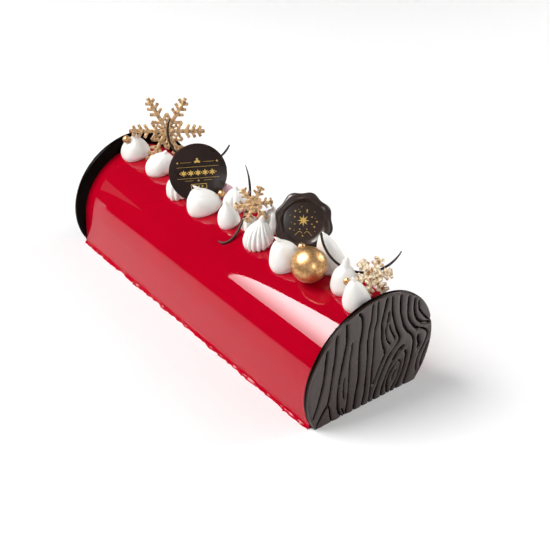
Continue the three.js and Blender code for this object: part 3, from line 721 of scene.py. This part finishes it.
SEAL_RADIUS = 16.2
SEAL_THICKNESS = 4.4
SEAL_RECESS = 11.2
SEAL_LOBES = 8
SEAL_TURN = radians(31)
seal_stand = stand_at((44.1, 8.7, 77.3), -43, 27)

half = SEAL_THICKNESS / 2
rim = [(1.4, -half), (0.6, -half + 0.3), (0.1, -half + 1.0), (0, -half + 1.7), (0.15, half - 1.5),
       (0.7, half - 0.75), (1.5, half - 0.25), (2.4, half), (3.3, half - 0.15)]
step = [(0.9, half - 0.6), (0.5, half - 1.0), (0.1, half - 1.6), (-0.5, half - 1.8)]
outline = [(0, -half), *((SEAL_RADIUS - inset, z) for inset, z in rim),
           *((SEAL_RECESS + out, z) for out, z in step), (0, half - 1.8)]
bm = turn_profile(outline, 192, cuts=2)
for v in bm.verts:
    away = hypot(v.co.x, v.co.y)
    if away > SEAL_RECESS - 0.6:
        angle = atan2(v.co.y, v.co.x)
        wave = 0.7 * cos(SEAL_LOBES * (angle - SEAL_TURN)) + 0.35 * cos(3 * angle + 0.5)
        share = max((away - SEAL_RECESS) / (SEAL_RADIUS - SEAL_RECESS), 0)
        grown = (away + wave * share) / away
        v.co.x *= grown
        v.co.y *= grown
        if v.co.z > 0:
            ripple = 0.5 + 0.5 * cos(SEAL_LOBES * (angle - SEAL_TURN) + 0.6)
            v.co.z -= 0.45 * ripple * share * (1 - share) * 4 * (0.7 + 0.3 * sin(2 * angle))
            # Folds that run round the rim, as in soft wax that a stamp pushes outwards.
            fold = 0.5 + 0.5 * cos(11 * share + 0.9 * sin(3 * angle + 1) + wave)
            v.co.z -= 0.5 * fold * sin(pi * min(share, 1)) * (0.65 + 0.35 * cos(angle - 2.4))
bmesh.ops.smooth_vert(bm, verts=[v for v in bm.verts if v.co.length > SEAL_RECESS], factor=0.5,
                      use_axis_x=True, use_axis_y=True, use_axis_z=True)
seal_chocolate = tempered_dark_chocolate("mould-cast dark chocolate, satin", "#261A16", "#352620",
                                         0.33, grain=0.3, shine=0.6)
finish_piece(bm, "cast_seal_plaque", seal_chocolate, "dark_chocolate", "seal_plaque",
             sharp=0, turned=seal_stand)

# One large star in a ring of small ones, gold dust scattered round them and a flourish below.
bm = bmesh.new()
print_star(bm, 0, 0.6, 3.4, 8, 0.36)
for i in range(8):
    print_star(bm, *(Vector(polar(5.2, radians(45 * i + 22.5))) + Vector((0, 0.6))), 0.5, 4, 0.5)
for i in range(16):
    angle = radians(22.5 * i + 7 * sin(5 * i))
    away = 7.6 + 0.9 * sin(3.7 * i)
    print_star(bm, *polar(away, angle), 0.3 + 0.35 * (i % 3 == 0), 4, 0.45)
for side in (-1, 1):
    shares = [i / 12 for i in range(13)]
    curve = [Vector((side * (0.6 + 4.2 * t), -6.6 + 1.1 * sin(4.4 * t))) for t in shares]
    for start, end in zip(curve, curve[1:]):
        print_line(bm, start, end + (end - start) * 0.1, 0.22)
finish_print(bm, "seal_gold_print", printed_gold,
             seal_stand @ Matrix.Translation((0, 0, half - 1.82)) @ Matrix.Rotation(radians(4), 4, "Z"))

# ---- Gold ball and pearls ------------------------------------------------------------------------
# A hollow chocolate bauble and small crisp pearls, rolled in copper-gold lustre until they shine.
# The bauble sits in the soft glaze and the pearls are pressed into the sides of the kisses.

BALL_RADIUS = 10.0
BALL_PLACE = (72.8, -11.3, 70.9)
PEARL_TILT = radians(20)

ball_gold = gold_lustre("rolled copper-gold lustre", "#A3743F", "#DCB280", 0.34, 0.1, 700.0)
bm = bmesh.new()
bmesh.ops.create_icosphere(bm, subdivisions=6, radius=BALL_RADIUS)
# Hand-rolled, so it is not quite round.
for v in bm.verts:
    v.co *= 1 - 0.004 * (1 + noise.noise(v.co / 4))
bmesh.ops.translate(bm, vec=BALL_PLACE, verts=bm.verts)
finish_piece(bm, "gilded_ball", ball_gold, "gold_lustre", "gold_ball", sharp=0)

# The place and the radius of each, and its height as a share of its width.
PEARLS = {
    "pearl_1": ((-104.8, -13.1, 73.1), 2.5, 1.0), "pearl_2": ((-18.4, -1.5, 69.5), 2.15, 1.0),
    "pearl_3": ((58.4, -4.3, 72.4), 2.2, 1.0), "pearl_4": ((95.9, -5.3, 70.8), 1.75, 1.2),
}
for node, (place, radius, tall) in PEARLS.items():
    bm = bmesh.new()
    bmesh.ops.create_icosphere(bm, subdivisions=4, radius=radius)
    bmesh.ops.scale(bm, vec=(1, 1, tall), verts=bm.verts)
    bmesh.ops.rotate(bm, cent=(0, 0, 0), matrix=Matrix.Rotation(PEARL_TILT, 3, "Y"), verts=bm.verts)
    bmesh.ops.translate(bm, vec=place, verts=bm.verts)
    finish_piece(bm, "gilded_" + node, ball_gold, "gold_lustre", node, sharp=0)

# ---- Chocolate curls -----------------------------------------------------------------------------
# Thin strokes of dark chocolate piped on acetate and bent round a mould while they set, so each is
# a springy tapered hoop. They are slipped in last, held by the kisses.

CURL_RADIUS = 0.72


def arc_points(radius, begin, end, stand):
    """Points of an arc between two angles in degrees, drawn flat and then stood up."""
    turns = [radians(begin + (end - begin) * i / 60) for i in range(61)]
    return [stand @ Vector((radius * cos(a), radius * sin(a), 0)) for a in turns]


def curl_thickness(share, head, tail):
    """Radius along a stroke from its start at 0, where its share is head, to its end at 1."""
    start = min(head + 5 * share, 1)
    end = min(tail + 3.5 * (1 - share), 1)
    return CURL_RADIUS * start * end


# The path of each, and the thickness of its head and its tail as shares of the full one.
CURLS = {
    "curl_far": (arc_points(19.9, 159, 337, stand_at((-59, 11.5, 90.9), -36, 25)), 0.6, 0.75),
    "curl_middle": (flowing_points([
        (7.4, -22.4, 56.4), (10.8, -21, 56.3), (12.8, -17.4, 58.4), (12, -11.9, 62), (8, -3.4, 70.4),
        (6, 0.5, 79), (2, 2.3, 87.8), (-1.3, 2, 95)], 10), 0.5, 0.3),
    "curl_near": (arc_points(22.9, 191, 337, stand_at((83.8, 16.1, 89.2), -47, 30)), 1.0, 0.5),
}
curl_chocolate = tempered_dark_chocolate("piped dark chocolate, satin", "#271A15", "#35251F", 0.4,
                                         shine=0.3)
# A disc is drawn on from point to point and turned with the path, so that the stroke never twists.
for node, (points, head, tail) in CURLS.items():
    bm = bmesh.new()
    ring = bmesh.ops.create_circle(bm, cap_ends=True, segments=14, radius=1.0)["verts"]
    cap = ring[0].link_faces[0]
    drawn = [v.co.copy() for v in ring]
    last = len(points) - 1
    heading, axes = Vector((0, 0, 1)), Matrix.Identity(3)
    for order, point in enumerate(points):
        ahead = (points[min(order + 1, last)] - points[max(order - 1, 0)]).normalized()
        axes = heading.rotation_difference(ahead).to_matrix() @ axes
        heading = ahead
        wide = curl_thickness(order / last, head, tail)
        if order:
            cap = bmesh.ops.extrude_discrete_faces(bm, faces=[cap])["faces"][0]
            ring = cap.verts[:]
        for v, co in zip(ring, drawn):
            v.co = point + axes @ (co * wide)
    finish_piece(bm, "piped_" + node, curl_chocolate, "dark_chocolate", node, sharp=60)

# ---- Studio --------------------------------------------------------------------------------------
# A pale table top in a dim room. One large soft box stands high on the log's long side, a smaller
# one behind it, a weak card beyond the far end and a faint fill at the near one. A low black flag
# along each side ends the table's reflection in the glaze.

KEY_SIZE = (1000, 1200)
# The sheets and the camera are in metres.
TABLE_SIZE = 12.0
FLAG_LENGTH = 0.9
FLAG_HEIGHT = 0.06
FLAG_DISTANCE = 0.2


def stage_sheet(name, size, material, turned=None):
    """A flat sheet that belongs to the studio and not to the cake."""
    bm = bmesh.new()
    bmesh.ops.create_grid(bm, x_segments=1, y_segments=1, size=0.5)
    bmesh.ops.scale(bm, vec=(*size, 1), verts=bm.verts)
    if turned is not None:
        bmesh.ops.transform(bm, matrix=turned, verts=bm.verts)
    mesh = bpy.data.meshes.new(name)
    bm.to_mesh(mesh)
    bm.free()
    mesh.materials.append(material)
    sheet = bpy.data.objects.new(name, mesh)
    bpy.context.scene.collection.objects.link(sheet)
    return sheet


def start_glow(name):
    """A new material without a shader, its node tree and the object's own X, Y and Z."""
    material = bpy.data.materials.new(name)
    material.use_nodes = True
    tree = material.node_tree
    tree.nodes.remove(tree.nodes["Principled BSDF"])
    place = add_node(tree, "ShaderNodeTexCoord").outputs["Object"]
    return material, tree, add_node(tree, "ShaderNodeSeparateXYZ", {"Vector": place}).outputs


# Laminate with the faintest cloud in its white.
material, tree, shader, place = start_material("matt white laminate", Roughness=0.6,
                                               Specular_IOR_Level=0.2)
cloud = add_node(tree, "ShaderNodeTexNoise", {"Vector": place, "Scale": 3.0, "Detail": 2.0})
tree.links.new(mix_colours(tree, cloud.outputs["Fac"], "#F8F8F8", "#FBFBFB"),
               shader.inputs["Base Color"])
stage_sheet("table_top", (TABLE_SIZE, TABLE_SIZE), material)

# The flags hide from the camera and cast no shadow; their lower edge thins out to nothing.
material, tree, above = start_glow("black flag, thin at its foot")
solid = add_node(tree, "ShaderNodeMapRange", {
    "Value": above["Z"], "From Min": 0.0, "From Max": 0.016}, interpolation_type="SMOOTHSTEP")
black = add_node(tree, "ShaderNodeEmission", {"Strength": 0.02})
clear = add_node(tree, "ShaderNodeBsdfTransparent")
both = add_node(tree, "ShaderNodeMixShader", {
    0: solid.outputs["Result"], 1: clear.outputs["BSDF"], 2: black.outputs["Emission"]})
tree.links.new(both.outputs["Shader"], tree.nodes["Material Output"].inputs["Surface"])
for side in (-1, 1):
    middle = Matrix.Translation((0.17, FLAG_DISTANCE * side, FLAG_HEIGHT / 2))
    flag = stage_sheet("black_flag", (FLAG_LENGTH, FLAG_HEIGHT), material,
                       turned=middle @ Matrix.Rotation(pi / 2, 4, "X"))
    flag.visible_camera = flag.visible_diffuse = flag.visible_shadow = False


def soft_box(name, place, right, up, size, radiance, diffuse=True, glossy=True):
    """A rectangular light of even brightness that shines against right × up."""
    light = bpy.data.lights.new(name, "AREA")
    light.shape = "RECTANGLE"
    light.size, light.size_y = (s / 1000 for s in size)
    light.energy = radiance * pi * light.size * light.size_y
    right = Vector(right).normalized()
    up = (Vector(up) - right * right.dot(Vector(up))).normalized()
    lamp = bpy.data.objects.new(name, light)
    lamp.visible_camera = False
    lamp.visible_diffuse = diffuse
    lamp.visible_glossy = glossy
    lamp.matrix_world = (Matrix.Translation(Vector(place) / 1000)
                         @ Matrix((right, up, right.cross(up))).transposed().to_4x4())
    bpy.context.scene.collection.objects.link(lamp)
    return lamp


key = soft_box("key_soft_box", (-552, -946, 1234), (0.854, -0.464, 0.237), (0.165, 0.672, 0.722),
               KEY_SIZE, 8.5, glossy=False)
soft_box("back_soft_box", (420, 1350, 800), (-0.955, 0.297, 0), (-0.14, -0.45, 0.88), (800, 900), 6.5)
soft_box("far_card", (-1000, -230, 260), (0, -1, 0), (0, 0, 1), (1060, 520), 0.6)
soft_box("fill_soft_box", (1000, 450, 480), (-0.45, 0.89, 0), (-0.36, -0.18, 0.92), (900, 900), 1.3,
         glossy=False)
# A small card stands where the gilded snowflake at the near end mirrors it.
soft_box("front_card", (457, -107, 208), (0.309, 0.951, 0), (-0.325, 0.106, 0.94), (150, 150), 7,
         diffuse=False)

# The key's own face, as the glaze mirrors it, is brighter than what its grid lets out, and falls off
# towards its lower edge. It hangs 20 mm behind the light and adds nothing but its reflection.
material, tree, height = start_glow("front cloth of the key")
glow = add_node(tree, "ShaderNodeMapRange", {
    "Value": height["Y"], "From Min": -0.62, "From Max": 0.1, "To Min": 9.0, "To Max": 27.0},
    interpolation_type="SMOOTHSTEP")
cloth = add_node(tree, "ShaderNodeEmission", {"Strength": glow.outputs["Result"]})
tree.links.new(cloth.outputs["Emission"], tree.nodes["Material Output"].inputs["Surface"])
key_face = stage_sheet("key_face", [side / 1000 for side in KEY_SIZE], material)
key_face.matrix_world = key.matrix_world @ Matrix.Translation((0, 0, 0.02))
key_face.visible_camera = key_face.visible_diffuse = key_face.visible_shadow = False

# The room is dark but for a pale wall behind the camera, towards which it brightens.
world = bpy.data.worlds.new("dim room")
world.use_nodes = True
tree = world.node_tree
towards_wall = add_node(tree, "ShaderNodeVectorMath", {
    0: add_node(tree, "ShaderNodeTexCoord").outputs["Generated"], 1: (0.75, -0.51, 0.42)},
    operation="DOT_PRODUCT")
wall = add_node(tree, "ShaderNodeMapRange", {
    "Value": towards_wall.outputs["Value"], "From Min": 0.25, "From Max": 0.95, "To Min": 0.03,
    "To Max": 0.32}, interpolation_type="SMOOTHSTEP")
tree.links.new(wall.outputs["Result"], tree.nodes["Background"].inputs["Strength"])
tree.nodes["Background"].inputs["Color"].default_value = (1, 1, 1, 1)
bpy.context.scene.world = world
bpy.context.scene.view_settings.view_transform = "Standard"

# The camera looks down along the log from beyond its near end.
lens = bpy.data.cameras.new("camera")
lens.lens = 66.0
lens.sensor_width = 36.0
lens.clip_start = 0.01
camera = bpy.data.objects.new("camera", lens)
look = Vector((-0.62939, 0.55814, -0.54069))
right = Vector((0.63167, 0.77273, 0.06239))
camera.matrix_world = (Matrix.Translation((0.402319, -0.327133, 0.355959))
                       @ Matrix((right, right.cross(look), -look)).transposed().to_4x4())
bpy.context.scene.collection.objects.link(camera)
bpy.context.scene.camera = camera
